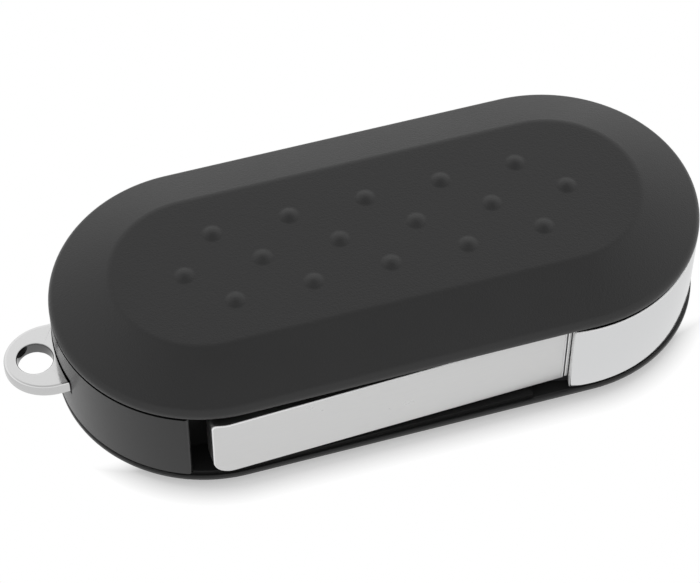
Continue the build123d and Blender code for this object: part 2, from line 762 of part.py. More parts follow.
# Key-ring tab: a flat plate with an oval nose outside and a narrower pinned tail inside
tab_root_x = left_end_x - end_radius
tab_root_end = tab_root_x + tab_slot_depth - tab_slot_gap
nose_start_x = hole_x - tab_hole_radius - tab_nose_wall + tab_nose_length
with BuildPart() as key_ring_loop:
    with BuildSketch(Plane.XY.offset(tab_z - tab_wall / 2)):
        with Locations((nose_start_x, 0)):
            Ellipse(tab_nose_length, tab_half_width)
            Rectangle(
                tab_root_end - nose_start_x, 2 * tab_half_width, align=(Align.MIN, Align.CENTER)
            )
        with Locations((tab_root_end, 0)):
            Rectangle(
                2 * tab_nose_length, 2 * tab_half_width, align=(Align.MIN, Align.CENTER), mode=Mode.SUBTRACT
            )
    extrude(amount=tab_wall)
    outline = key_ring_loop.faces().filter_by(Axis.Z).edges()
    fillet(outline.filter_by(lambda edge: edge.center().X < tab_root_end - press_gap), tab_edge_round)
    with BuildSketch(Plane.XY.offset(tab_z - tab_wall / 2)):
        with Locations((tab_root_x, 0)):
            Rectangle(tab_tail, 2 * (tab_half_width - tab_tail_step), align=(Align.MIN, Align.CENTER))
    extrude(amount=tab_wall)
    # Hole for the key ring, with its edges broken, and the hole for the pin
    with BuildSketch(Plane.XY.offset(tab_z - tab_wall / 2)):
        with Locations((hole_x, 0)):
            Circle(tab_hole_radius)
        with Locations((loop_pin_x, 0)):
            Circle(loop_pin_radius + press_gap)
    extrude(amount=tab_wall, mode=Mode.SUBTRACT)
    hole_edges = key_ring_loop.edges().filter_by(GeomType.CIRCLE)
    hole_edges = hole_edges.filter_by(lambda edge: abs(edge.arc_center.X - hole_x) < press_gap)
    chamfer(hole_edges.filter_by(lambda edge: edge.radius < tab_hole_radius + press_gap), tab_hole_edge)
key_ring_loop.part.label = "key_ring_loop"
export_step(key_ring_loop.part, "parts/key_ring_loop.step")

with BuildPart() as loop_pin:
    with BuildSketch(Plane.XY.offset(frame_z + pocket_wall)):
        with Locations((loop_pin_x, 0)):
            Circle(loop_pin_radius)
    extrude(amount=wall_height - loop_block_top - pocket_wall)
loop_pin.part.label = "loop_pin"
export_step(loop_pin.part, "parts/loop_pin.step")

with BuildPart() as case_screws:
    with BuildSketch(Plane.XY.offset(screw_seat_z)):
        with Locations(screw_points):
            Circle(screw_head_radius)
    extrude(amount=screw_head_height)
    with BuildSketch(Plane.XY.offset(screw_seat_z - screw_length)):
        with Locations(screw_points):
            Circle(screw_shank_radius)
    extrude(amount=screw_length)
    fillet(case_screws.edges().group_by(Axis.Z)[-1], screw_head_round)
case_screws.part.label = "case_screws"
export_step(case_screws.part, "parts/case_screws.step")


# Board tray: a tub whose floor is a ledge, open to the switches below and to the cover above
tray_low_y = pocket_face_y + pocket_wall + tray_gap
tray_high_y = end_radius - frame_wall - tray_gap
tray_start_x = end_boss_x + frame_boss_radius + tray_end_gap
tray_end_x = pocket_boss_x - frame_boss_radius - tray_gap
tray_length = tray_end_x - tray_start_x
tray_width = tray_high_y - tray_low_y
tray_top_z = seam_z - tongue_drop - tray_top_gap
tray_floor_z = mat_top_z + tray_floor
with BuildPart() as board_tray:
    with BuildSketch(Plane.XY.offset(mat_top_z)):
        with Locations((tray_start_x, tray_low_y)):
            Rectangle(tray_length, tray_width, align=(Align.MIN, Align.MIN))
        SlotCenterToCenter(end_spacing, 2 * tray_high_y, mode=Mode.INTERSECT)
    extrude(amount=tray_top_z - mat_top_z)
    with BuildSketch(Plane.XY.offset(tray_floor_z)):
        with Locations((tray_start_x + tray_wall, tray_low_y + tray_wall)):
            Rectangle(
                tray_length - 2 * tray_wall, tray_width - 2 * tray_wall, align=(Align.MIN, Align.MIN)
            )
        SlotCenterToCenter(end_spacing, 2 * (tray_high_y - tray_wall), mode=Mode.INTERSECT)
    extrude(amount=tray_top_z - tray_floor_z, mode=Mode.SUBTRACT)
    with BuildSketch(Plane.XY.offset(mat_top_z)):
        with Locations((key_row_x, 0)):
            RectangleRounded(mat_length - 2 * tray_ledge, mat_width - 2 * tray_ledge, tray_corner)
    extrude(amount=tray_floor, mode=Mode.SUBTRACT)
board_tray.part.label = "board_tray"
export_step(board_tray.part, "parts/board_tray.step")

# Battery contacts: bent strips standing against the back wall of the tray
strip_z = tray_floor_z + contact_strip / 2
strip_y = tray_high_y - tray_wall - contact_strip / 2
contacts = (
    ("battery_contact_negative", -1, contact_negative_height),
    ("battery_contact_positive", 1, contact_positive_height),
)
for name, side, height in contacts:
    with BuildPart() as contact:
        contact_x = key_row_x + contact_from_key_row + side * contact_spacing / 2
        with BuildSketch(Plane.YZ.offset(contact_x - contact_width / 2)):
            with BuildLine():
                strip = FilletPolyline(
                    (strip_y - contact_foot, strip_z),
                    (strip_y, strip_z),
                    (strip_y, strip_z + height),
                    (strip_y - contact_foot, strip_z + height + contact_foot / 2),
                    radius=contact_bend,
                )
            trace(strip, contact_strip)
        extrude(amount=contact_width)
    contact.part.label = name
    export_step(contact.part, "parts/" + name + ".step")
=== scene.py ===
from math import acos, cos, pi, radians, sin, sqrt, tan

import bmesh
import bpy
from mathutils import Matrix, Vector


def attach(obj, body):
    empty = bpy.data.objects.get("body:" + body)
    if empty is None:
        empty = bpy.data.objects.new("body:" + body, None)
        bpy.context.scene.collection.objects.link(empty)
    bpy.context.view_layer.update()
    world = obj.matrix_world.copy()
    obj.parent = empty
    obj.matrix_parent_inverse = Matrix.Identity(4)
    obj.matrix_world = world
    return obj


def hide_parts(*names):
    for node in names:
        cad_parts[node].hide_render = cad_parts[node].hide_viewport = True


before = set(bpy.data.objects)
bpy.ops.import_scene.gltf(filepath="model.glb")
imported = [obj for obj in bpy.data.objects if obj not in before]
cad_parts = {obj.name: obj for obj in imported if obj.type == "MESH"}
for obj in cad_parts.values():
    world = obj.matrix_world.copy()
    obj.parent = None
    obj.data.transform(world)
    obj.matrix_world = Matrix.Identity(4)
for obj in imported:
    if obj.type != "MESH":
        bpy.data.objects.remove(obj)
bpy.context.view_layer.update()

MM = 0.001


# Table, dome of daylight and camera.
# The sweep is white, clear from below, and stands in an even white light tent with a wide soft lamp above.
# Painted light on the sweep makes its shadow end a few millimetres out. The camera stands in front, to the
# left, and looks down.
camera_azimuth = radians(-17.2954)
camera_elevation = radians(52.1034)
camera_roll = radians(0.2417)
camera_distance = 286.249 * MM
camera_target = Vector((-4.583, -4.363, 12.5)) * MM
sensor_width = 36.0
focal_length = 134.163
nearest_seen = 0.01
farthest_seen = 10

table_radius = 1.2
table_sides = 64
table_gap = 0.02
table_white = 0.9
shadow_start = 0.3
shadow_end = 2.8
shadow_glow = 0.33
shadow_centre_x = 0.3
shadow_half_length = 19.4
shadow_half_width = 17.0
shadow_full_y = -13.6
shadow_gone_y = -10.0
horizon_light = 1.0
zenith_light = 0.6
fade_from_height = 0.72
fade_to_height = 0.99
mirrored_table = 0.8
lamp_height = 0.7
lamp_size = 0.9
lamp_power = 0.8


def maths(tree, operation, *values, clamp=False):
    """Result of a Math node, whose inputs are numbers or the outputs of other nodes."""
    node = tree.nodes.new("ShaderNodeMath")
    node.operation = operation
    node.use_clamp = clamp
    for socket, value in zip(node.inputs, values):
        if isinstance(value, (int, float)):
            socket.default_value = value
        else:
            tree.links.new(value, socket)
    return node.outputs[0]


def spread(tree, value, low, high, start=0, stop=1, smooth=False):
    """Result of a Map Range node, which turns a value from start to stop into one from low to high."""
    node = tree.nodes.new("ShaderNodeMapRange")
    if smooth:
        node.interpolation_type = "SMOOTHSTEP"
    node.inputs["From Min"].default_value = start
    node.inputs["From Max"].default_value = stop
    node.inputs["To Min"].default_value = low
    node.inputs["To Max"].default_value = high
    tree.links.new(value, node.inputs["Value"])
    return node.outputs["Result"]


def split(tree, place):
    """The X, Y and Z of a place."""
    node = tree.nodes.new("ShaderNodeSeparateXYZ")
    tree.links.new(place, node.inputs[0])
    return node.outputs["X"], node.outputs["Y"], node.outputs["Z"]


def distance(tree, x, y):
    """Distance of a flat place from the origin."""
    squares = [maths(tree, "MULTIPLY", side, side) for side in (x, y)]
    return maths(tree, "SQRT", maths(tree, "ADD", *squares))


def from_stadium_line(tree, centre_x, half_length):
    """Distance of a place from the middle line of a stadium, with the place's own Y and Z."""
    x, y, z = split(tree, tree.nodes.new("ShaderNodeTexCoord").outputs["Object"])
    from_centre = maths(tree, "ABSOLUTE", maths(tree, "SUBTRACT", x, centre_x * MM))
    beyond = maths(tree, "SUBTRACT", from_centre, half_length * MM, clamp=True)
    return distance(tree, beyond, y), y, z


def either(tree, share, first, second):
    """The first surface where the share is 0 and the second where it is 1."""
    node = tree.nodes.new("ShaderNodeMixShader")
    for socket, source in zip(node.inputs, (share, first, second)):
        tree.links.new(source, socket)
    return node.outputs[0]


back = Vector(
    (
        sin(camera_azimuth) * cos(camera_elevation),
        -cos(camera_azimuth) * cos(camera_elevation),
        sin(camera_elevation),
    )
)
level_right = Vector((cos(camera_azimuth), sin(camera_azimuth), 0))
level_up = back.cross(level_right)
right = level_right * cos(camera_roll) + level_up * sin(camera_roll)
up = level_up * cos(camera_roll) - level_right * sin(camera_roll)
camera_turn = Matrix((right, up, back)).transposed().to_4x4()
camera = bpy.data.objects.new("camera", bpy.data.cameras.new("camera"))
camera.data.sensor_width = sensor_width
camera.data.lens = focal_length
camera.data.clip_start = nearest_seen
camera.data.clip_end = farthest_seen
camera.matrix_world = Matrix.Translation(camera_target + back * camera_distance) @ camera_turn
bpy.context.scene.collection.objects.link(camera)
bpy.context.scene.camera = camera
bpy.context.scene.view_settings.view_transform = "Standard"

world = bpy.data.worlds.new("daylight_dome")
world.use_nodes = True
bpy.context.scene.world = world
sky = world.node_tree
sky.nodes.clear()
sky_height = split(sky, sky.nodes.new("ShaderNodeTexCoord").outputs["Generated"])[2]
sky_light = spread(
    sky, sky_height, horizon_light, zenith_light, fade_from_height, fade_to_height, smooth=True
)
dome = sky.nodes.new("ShaderNodeBackground")
sky_out = sky.nodes.new("ShaderNodeOutputWorld")
sky.links.new(sky_light, dome.inputs["Strength"])
sky.links.new(dome.outputs[0], sky_out.inputs["Surface"])

lamp = bpy.data.objects.new("overhead_lamp", bpy.data.lights.new("overhead_lamp", "AREA"))
lamp.data.shape = "DISK"
lamp.data.size = lamp_size
lamp.data.energy = lamp_power
lamp.matrix_world = Matrix.Translation((0, 0, lamp_height))
lamp.visible_glossy = False
bpy.context.scene.collection.objects.link(lamp)

table_bm = bmesh.new()
bmesh.ops.create_circle(table_bm, cap_ends=True, segments=table_sides, radius=table_radius)
table_mesh = bpy.data.meshes.new("table")
table_bm.to_mesh(table_mesh)
table_bm.free()
table_mesh.transform(Matrix.Translation((0, 0, -table_gap * MM)))
table = bpy.data.objects.new("table", table_mesh)
bpy.context.scene.collection.objects.link(table)
table_paint = bpy.data.materials.new("table_white")
table_paint.use_nodes = True
paint = table_paint.node_tree
paint.nodes.clear()
matt = paint.nodes.new("ShaderNodeBsdfDiffuse")
matt.inputs["Color"].default_value = (table_white, table_white, table_white, 1)
glow = paint.nodes.new("ShaderNodeEmission")
clear = paint.nodes.new("ShaderNodeBsdfTransparent")
rays = paint.nodes.new("ShaderNodeLightPath").outputs
facing = paint.nodes.new("ShaderNodeNewGeometry")
out_from_line, place_y, _ = from_stadium_line(paint, shadow_centre_x, shadow_half_length)
shadow_from = (shadow_half_width + shadow_start) * MM
shadow_to = (shadow_half_width + shadow_end) * MM
# Painted light: the sweep's glow share rises from the fob's outline outwards and towards the back, so its
# shadow fades out within a few millimetres
past_shadow = spread(paint, out_from_line, shadow_glow, 1, shadow_from, shadow_to)
behind = spread(paint, place_y, 0, 1, shadow_full_y * MM, shadow_gone_y * MM, smooth=True)
bright = maths(paint, "MULTIPLY", maths(paint, "MAXIMUM", past_shadow, behind), rays["Is Camera Ray"])
mirrored = maths(paint, "MAXIMUM", rays["Is Glossy Ray"], rays["Is Transmission Ray"])
paint.links.new(spread(paint, rays["Is Glossy Ray"], 1, mirrored_table), glow.inputs["Strength"])
lit = either(paint, maths(paint, "MAXIMUM", bright, mirrored), matt.outputs[0], glow.outputs[0])
one_sided = either(paint, facing.outputs["Backfacing"], lit, clear.outputs[0])
paint_out = paint.nodes.new("ShaderNodeOutputMaterial")
paint.links.new(one_sided, paint_out.inputs["Surface"])
table.data.materials.append(table_paint)


# Back cover.
# The clip-on lid of the case: black plastic with a soft, finely grained finish, moulded as a thin dish
# whose rim is bevelled up to a flat top. Short tongues under the rim find their place inside the wall.
case_end_radius = 17.0
case_left_x = -20.0
case_right_x = 20.0
seam_z = 12.6
cover_edge_z = 13.6
cover_top_z = 16.5
cover_wall = 1.3
cover_rim_wall = 1.4
cover_bevel_run = 6.8
cover_edge_round = 1.0
cover_crease_round = 2.0
cover_low_round = 0.2
cover_flat_margin = 1.2
turn_steps = 72
run_steps = 24
arc_steps = 10


def rounded_line(points, radii, steps):
    """Points of an open line whose corners are turned by arcs of these radii."""
    line = []
    for index, (point, radius) in enumerate(zip(points, radii)):
        corner = Vector(point)
        if radius == 0:
            line.append(corner)
            continue
        before = (Vector(points[index - 1]) - corner).normalized()
        after = (Vector(points[index + 1]) - corner).normalized()
        half_angle = before.angle(after) / 2
        centre = corner + (before + after).normalized() * (radius / sin(half_angle))
        start = (corner + before * (radius / tan(half_angle)) - centre).normalized()
        end = (corner + after * (radius / tan(half_angle)) - centre).normalized()
        line += [centre + start.slerp(end, step / steps) * radius for step in range(steps + 1)]
    return line


def stadium_stations(left_x, right_x, steps_round, steps_along):
    """Middle points and outward directions round the outline, anticlockwise from its right end's front."""
    stations = []
    for end_x, other_x, start in ((right_x, left_x, -pi / 2), (left_x, right_x, pi / 2)):
        for step in range(steps_round + 1):
            angle = start + pi * step / steps_round
            stations.append((Vector((end_x, 0)), Vector((cos(angle), sin(angle)))))
        for step in range(1, steps_along):
            middle = Vector((end_x + (other_x - end_x) * step / steps_along, 0))
            stations.append((middle, Vector((0, -sin(start)))))
    return stations


def at_height(point, height):
    """A flat point lifted to a height."""
    return Vector((point.x, point.y, height))


def stack_rings(bm, rings, closed=False):
    """Skin a stack of rings of equal count, each a list of 3-D points in millimetres."""
    rows = [[bm.verts.new(point * MM) for point in ring] for ring in rings]
    count = len(rows[0])
    pairs = list(zip(rows, rows[1:]))
    if closed:
        pairs.append((rows[-1], rows[0]))
    for lower, upper in pairs:
        for index in range(count):
            follow = (index + 1) % count
            bm.faces.new((lower[index], lower[follow], upper[follow], upper[index]))
    return rows


def solid_rings(bm, rings):
    """Skin a stack of rings and close its two ends with flat faces."""
    rows = stack_rings(bm, rings)
    bm.faces.new(rows[0])
    bm.faces.new(reversed(rows[-1]))


def hand_over(mesh, name, body, nodes=(), crease=30):
    """Make a mesh a piece, smooth up to its sharp edges, with its body and what it replaces."""
    mesh.shade_smooth()
    mesh.set_sharp_from_angle(angle=radians(crease))
    piece = bpy.data.objects.new(name, mesh)
    bpy.context.scene.collection.objects.link(piece)
    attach(piece, body)
    if nodes:
        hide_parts(*nodes)
    return piece


def finish_piece(bm, name, material, body, nodes=(), crease=30):
    """Turn the faces outward, lay the material on and hand the piece over."""
    bmesh.ops.recalc_face_normals(bm, faces=bm.faces)
    mesh = bpy.data.meshes.new(name)
    bm.to_mesh(mesh)
    bm.free()
    mesh.materials.append(material)
    return hand_over(mesh, name, body, nodes, crease)


def new_material(name):
    """A new material, its nodes, its shader and the place on the object where its patterns are read."""
    material = bpy.data.materials.new(name)
    material.use_nodes = True
    tree = material.node_tree
    place = tree.nodes.new("ShaderNodeTexCoord")
    return material, tree, tree.nodes["Principled BSDF"], place.outputs["Object"]


def noise(tree, place, size, detail, roughness=0.5):
    """Noise whose grains have a size in millimetres."""
    node = tree.nodes.new("ShaderNodeTexNoise")
    node.inputs["Scale"].default_value = 1 / (size * MM)
    node.inputs["Detail"].default_value = detail
    node.inputs["Roughness"].default_value = roughness
    tree.links.new(place, node.inputs["Vector"])
    return node.outputs["Fac"]


def emboss(tree, shader, height, depth):
    """Let a pattern stand out of the surface by a depth in millimetres."""
    bump = tree.nodes.new("ShaderNodeBump")
    bump.inputs["Distance"].default_value = depth * MM
    tree.links.new(height, bump.inputs["Height"])
    tree.links.new(bump.outputs["Normal"], shader.inputs["Normal"])


def blend(tree, share, first, second):
    """The first colour where the share is 0 and the second where it is 1, numbers or nodes' outputs."""
    node = tree.nodes.new("ShaderNodeMix")
    node.data_type = "RGBA"
    tree.links.new(share, node.inputs[0])
    for socket, colour in ((node.inputs[6], first), (node.inputs[7], second)):
        if isinstance(colour, bpy.types.NodeSocket):
            tree.links.new(colour, socket)
        else:
            socket.default_value = (*colour, 1)
    return node.outputs[2]


def moulded_plastic(name, colour, roughness, grain_size, grain_depth, cloud=0.12, ior=1.5):
    """Plastic with a spark-eroded grain, faint clouds in its gloss and soft flow marks in its colour."""
    cloud_size = 7
    flow_tint = 0.15
    flow_from = 0.1
    flow_to = 0.4
    material, tree, shader, place = new_material(name)
    shader.inputs["IOR"].default_value = ior
    grain = noise(tree, place, grain_size, 3)
    emboss(tree, shader, grain, grain_depth)
    clouds = noise(tree, place, cloud_size, 4)
    gloss = spread(tree, clouds, roughness * (1 - cloud), roughness * (1 + cloud))
    tree.links.new(gloss, shader.inputs["Roughness"])
    flow = spread(tree, maths(tree, "MULTIPLY", clouds, grain), 0, 1, flow_from, flow_to)
    darker = [(1 - flow_tint) * part for part in colour]
    paler = [(1 + flow_tint) * part for part in colour]
    tree.links.new(blend(tree, flow, darker, paler), shader.inputs["Base Color"])
    return material


soft_black = moulded_plastic("soft_black_cover", (0.0052, 0.0052, 0.0054), 0.36, 0.2, 0.035, ior=1.58)
crease_radius = case_end_radius - cover_bevel_run
bevel_slope = (cover_top_z - cover_edge_z) / cover_bevel_run
inner_top_z = cover_top_z - cover_wall
inner_crease = crease_radius - cover_wall * (sqrt(1 + bevel_slope**2) - 1) / bevel_slope
rim_inner = case_end_radius - cover_rim_wall
rim_inner_z = inner_top_z - (rim_inner - inner_crease) * bevel_slope
cover_profile = rounded_line(
    [
        (crease_radius - cover_flat_margin, cover_top_z),
        (crease_radius, cover_top_z),
        (case_end_radius, cover_edge_z),
        (case_end_radius, seam_z),
        (rim_inner, seam_z),
        (rim_inner, rim_inner_z),
        (inner_crease, inner_top_z),
        (inner_crease - cover_flat_margin, inner_top_z),
    ],
    [0, cover_crease_round, cover_edge_round, cover_low_round, 0, 0, 0, 0],
    arc_steps,
)
stations = stadium_stations(case_left_x, case_right_x, turn_steps, run_steps)
cover_rings = [
    [at_height(middle + outward * out, height) for middle, outward in stations]
    for out, height in cover_profile
]
cover_bm = bmesh.new()
solid_rings(cover_bm, cover_rings)
finish_piece(cover_bm, "cover_shell", soft_black, "cover", nodes=["back_cover"])

tongue_width = 6.0
tongue_wall = 0.8
tongue_outer = 15.25
tongue_low_z = 11.1
tongue_chamfer = 0.3
tongue_turn = radians(38)
tongue_places = [(-9, pi / 2), (3, pi / 2), (case_left_x, pi - tongue_turn), (case_left_x, pi + tongue_turn)]
tongue_section = [
    (tongue_outer - tongue_wall, tongue_low_z),
    (tongue_outer - tongue_chamfer, tongue_low_z),
    (tongue_outer, tongue_low_z + tongue_chamfer),
    (tongue_outer, seam_z + cover_low_round),
    (rim_inner + cover_low_round, seam_z + cover_low_round),
    (rim_inner + cover_low_round, seam_z + tongue_wall),
    (tongue_outer - tongue_wall, seam_z + tongue_wall),
]
tongues_bm = bmesh.new()
for root_x, turn in tongue_places:
    outward = Vector((cos(turn), sin(turn)))
    along = Vector((-sin(turn), cos(turn)))
    sides = [Vector((root_x, 0)) + along * (side * tongue_width / 2) for side in (-1, 1)]
    tongue_rings = [[at_height(side + outward * out, z) for out, z in tongue_section] for side in sides]
    solid_rings(tongues_bm, tongue_rings)
finish_piece(tongues_bm, "cover_tongues", soft_black, "cover")


# Raised dots on the back cover.
# Sixteen small round pips in three staggered rows, moulded in one with the cover: each is a low dome with
# even flanks and a rounded top, which runs out into the flat through a small fillet.
dot_pitch = 8.8
dot_row_pitch = 4.8
dot_rows = ((-1, 5), (0, 6), (1, 5))
dot_sizes = {
    "Dot Radius": 1.08,
    "Dot Height": 0.31,
    "Flank Rise": 0.46,
    "Top Round": 0.25,
    "Fillet": 0.12,
    "Skirt Radius": 1.3,
    "Lift": 0.003,
    "Sink": 0.06,
}
dot_rings = 16
dot_sides = 48
dot_rim_share = 0.99


def open_tree(name, sockets):
    """A new Geometry Nodes tree and what is given to it: points, and sockets named with their types."""
    tree = bpy.data.node_groups.new(name, "GeometryNodeTree")
    tree.interface.new_socket("Points", in_out="INPUT", socket_type="NodeSocketGeometry")
    for socket, kind in sockets.items():
        tree.interface.new_socket(socket, in_out="INPUT", socket_type=kind)
    tree.interface.new_socket("Copies", in_out="OUTPUT", socket_type="NodeSocketGeometry")
    return tree, tree.nodes.new("NodeGroupInput").outputs


def copy_to_points(tree, points, shape, material, rotation=None):
    """Set a copy of a shape on each point, make the copies real, paint them and pass them out."""
    spots = tree.nodes.new("GeometryNodeInstanceOnPoints")
    tree.links.new(points, spots.inputs["Points"])
    tree.links.new(shape, spots.inputs["Instance"])
    if rotation:
        tree.links.new(rotation, spots.inputs["Rotation"])
    real = tree.nodes.new("GeometryNodeRealizeInstances")
    tree.links.new(spots.outputs["Instances"], real.inputs["Geometry"])
    coat = tree.nodes.new("GeometryNodeSetMaterial")
    coat.inputs["Material"].default_value = material
    tree.links.new(real.outputs["Geometry"], coat.inputs["Geometry"])
    result = tree.nodes.new("NodeGroupOutput")
    tree.links.new(coat.outputs["Geometry"], result.inputs["Copies"])


def dot_tree(material):
    """Geometry Nodes: a polar disc is raised into a dot and set on each point it is given."""
    tree, given = open_tree("raised_dots", dict.fromkeys(dot_sizes, "NodeSocketFloat"))
    disc = tree.nodes.new("GeometryNodeMeshCone")
    disc.fill_type = "NONE"
    disc.inputs["Vertices"].default_value = dot_sides
    disc.inputs["Side Segments"].default_value = dot_rings
    disc.inputs["Radius Top"].default_value = 0
    disc.inputs["Depth"].default_value = 0
    tree.links.new(given["Skirt Radius"], disc.inputs["Radius Bottom"])
    x, y, _ = split(tree, tree.nodes.new("GeometryNodeInputPosition").outputs[0])
    out = distance(tree, x, y)
    flank = maths(tree, "SUBTRACT", 1.0, maths(tree, "DIVIDE", out, given["Dot Radius"]))
    flank = maths(tree, "MULTIPLY", flank, given["Flank Rise"])
    cap = maths(tree, "SMOOTH_MIN", flank, given["Dot Height"], given["Top Round"])
    raised = maths(tree, "SMOOTH_MAX", cap, 0.0, given["Fillet"])
    at_rim = maths(tree, "GREATER_THAN", out, maths(tree, "MULTIPLY", given["Skirt Radius"], dot_rim_share))
    sunk = maths(tree, "MULTIPLY", at_rim, given["Sink"])
    raised = maths(tree, "SUBTRACT", maths(tree, "ADD", raised, given["Lift"]), sunk)
    lifted = tree.nodes.new("ShaderNodeCombineXYZ")
    for socket, part in zip(lifted.inputs, (x, y, raised)):
        tree.links.new(part, socket)
    shape = tree.nodes.new("GeometryNodeSetPosition")
    tree.links.new(disc.outputs["Mesh"], shape.inputs["Geometry"])
    tree.links.new(lifted.outputs[0], shape.inputs["Position"])
    copy_to_points(tree, given["Points"], shape.outputs["Geometry"], material)
    return tree


def grow(tree, sizes, points, name):
    """Run a Geometry Nodes tree on a set of points and keep the result as a plain mesh."""
    seeds = bpy.data.meshes.new(name + "_points")
    seeds.from_pydata([Vector(point) * MM for point in points], [], [])
    carrier = bpy.data.objects.new(name + "_carrier", seeds)
    bpy.context.scene.collection.objects.link(carrier)
    modifier = carrier.modifiers.new(name, "NODES")
    modifier.node_group = tree
    for item in tree.interface.items_tree:
        if item.in_out == "INPUT" and item.name in sizes:
            modifier[item.identifier] = sizes[item.name]
    graph = bpy.context.evaluated_depsgraph_get()
    mesh = bpy.data.meshes.new_from_object(carrier.evaluated_get(graph))
    mesh.name = name
    bpy.data.objects.remove(carrier)
    bpy.data.meshes.remove(seeds)
    return mesh


dot_points = [
    ((index - (count - 1) / 2) * dot_pitch, row * dot_row_pitch, cover_top_z)
    for row, count in dot_rows
    for index in range(count)
]
dot_sizes_in_metres = {name: size * MM for name, size in dot_sizes.items()}
dots = grow(dot_tree(soft_black), dot_sizes_in_metres, dot_points, "cover_dots")
hand_over(dots, "cover_dots", "cover")


# Side wall, front case and board tray.
# Black plastic mouldings with a satin skin, screwed together from inside: the wall with the window for
# the blade, the button face whose edge stands out as a lip, and the tub for the owner's board.
wall_skin_out = 16.7
face_skin_z = 1.4
# Painted shade inside the skin: its colour and its shine
painted_shade_black = (0.014, 0.014, 0.014)
painted_shade_shine = 0.06
skin_shine = 0.5


def refinish(material, *names):
    """Give nodes of the frame a better material and keep their shapes."""
    for name in names:
        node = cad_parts[name]
        node.data.materials.clear()
        node.data.materials.append(material)


def paint_shade_inside(material, skin_out, skin_low_z=0.0):
    """Leave the skin of a moulding as it is and paint shade on all that lies further in, above a height: a
    darker colour and less shine.
    """
    tree = material.node_tree
    shader = tree.nodes["Principled BSDF"]
    out, _, z = from_stadium_line(tree, 0, case_right_x)
    far_out = maths(tree, "GREATER_THAN", out, skin_out * MM)
    low = maths(tree, "LESS_THAN", z, skin_low_z * MM)
    skin = maths(tree, "MAXIMUM", far_out, low)
    skin_colour = shader.inputs["Base Color"].links[0].from_socket
    tree.links.new(spread(tree, skin, painted_shade_shine, skin_shine), shader.inputs["Specular IOR Level"])
    tree.links.new(blend(tree, skin, painted_shade_black, skin_colour), shader.inputs["Base Color"])


case_black = (0.007, 0.007, 0.0072)
wall_black = moulded_plastic("wall_black", case_black, 0.24, 0.22, 0.02, cloud=0.2, ior=1.45)
# Painted shade in the window, the pocket and all else inside the wall's skin
paint_shade_inside(wall_black, wall_skin_out)
refinish(wall_black, "mid_frame")
face_black = moulded_plastic("face_black", case_black, 0.34, 0.22, 0.012, cloud=0.18, ior=1.46)
# Painted shade on the front case inside its lip
paint_shade_inside(face_black, wall_skin_out, face_skin_z)
refinish(face_black, "front_case")
tray_black = moulded_plastic("tray_black", (0.05, 0.05, 0.052), 0.5, 0.3, 0.02)
refinish(tray_black, "board_tray")


# Hub band, release button and its ring.
# Bright chrome plated on plastic mouldings: the band is the skin of the drum that swings the blade, the
# dished button and its flat ring sit in the button face. The band's ends and rounded edges carry painted
# light: pale and not metallic.
pivot = Vector((20.0, 0))
blade_tilt = radians(2)
band_outer_radius = 17.0
band_inner_radius = 15.92
band_low_z = 2.05
band_high_z = 12.1
band_start_back = 2.8
band_stop_back = 13.23
band_start = pi + acos(band_start_back / band_outer_radius)
band_stop = 1.5 * pi + blade_tilt - acos(band_stop_back / band_outer_radius)
band_edge_round = 0.24
band_turns = 200
flat_rim = 0.05
# How squarely a face looks along a direction: up to the first two it is a side, from the last it is flat
side_up_to = 0.2
end_up_to = 0.6
flat_from = 0.97


def plated(name, colour, roughness, ripple_size, ripple_depth, scuff, painted_light_grey):
    """Bright plating with a slow ripple, a haze and fine rubbing marks, and painted light, pale and not
    metallic, where a face is marked so.
    """
    haze_size = 1.6
    haze_from = 0.35
    haze_to = 0.75
    material, tree, shader, place = new_material(name)
    emboss(tree, shader, noise(tree, place, ripple_size, 1), ripple_depth)
    haze = noise(tree, place, haze_size, 8, roughness=0.7)
    gloss = spread(tree, haze, roughness, roughness + scuff, haze_from, haze_to)
    tree.links.new(gloss, shader.inputs["Roughness"])
    end = tree.nodes.new("ShaderNodeAttribute")
    end.attribute_name = "painted_light_face"
    tree.links.new(spread(tree, end.outputs["Fac"], 1, 0), shader.inputs["Metallic"])
    tint = blend(tree, end.outputs["Fac"], colour, (painted_light_grey, painted_light_grey, painted_light_grey))
    tree.links.new(tint, shader.inputs["Base Color"])
    return material


def inset(points, amount):
    """Move the sides of a closed outline, given anticlockwise, inwards by an amount."""
    moved = []
    for index, point in enumerate(points):
        before = (point - points[index - 1]).normalized()
        after = (points[(index + 1) % len(points)] - point).normalized()
        left_before = Vector((-before.y, before.x))
        left_after = Vector((-after.y, after.x))
        moved.append(point + (left_before + left_after) * (amount / (1 + left_before.dot(left_after))))
    return moved


def rounded_steps(length, radius, steps, between=()):
    """Pairs of (inset, distance) along a solid with rounded end edges and a rim that keeps its ends flat."""
    turns = [pi / 2 * step / steps for step in range(steps + 1)]
    start = [(radius + flat_rim, 0)]
    start += [(radius * (1 - sin(turn)), radius * (1 - cos(turn))) for turn in turns]
    return start + list(between) + [(shrink, length - along) for shrink, along in reversed(start)]


def mark_faces(piece, name, wanted):
    """Write on each face what a test of it gives, true as 1 and false as 0, for the material to read."""
    marks = piece.data.attributes.new(name, "FLOAT", "FACE")
    for face in piece.data.polygons:
        marks.data[face.index].value = float(wanted(face))


def gets_painted_light(face):
    """True for a face that looks along the band, at one of its two ends, and for its rounded edges, which get
    painted light.
    """
    outward = (face.center.xy - pivot * MM).normalized()
    if side_up_to < abs(face.normal.z) < flat_from:
        return True
    return abs(face.normal.xy.dot(outward)) < end_up_to and abs(face.normal.z) < end_up_to


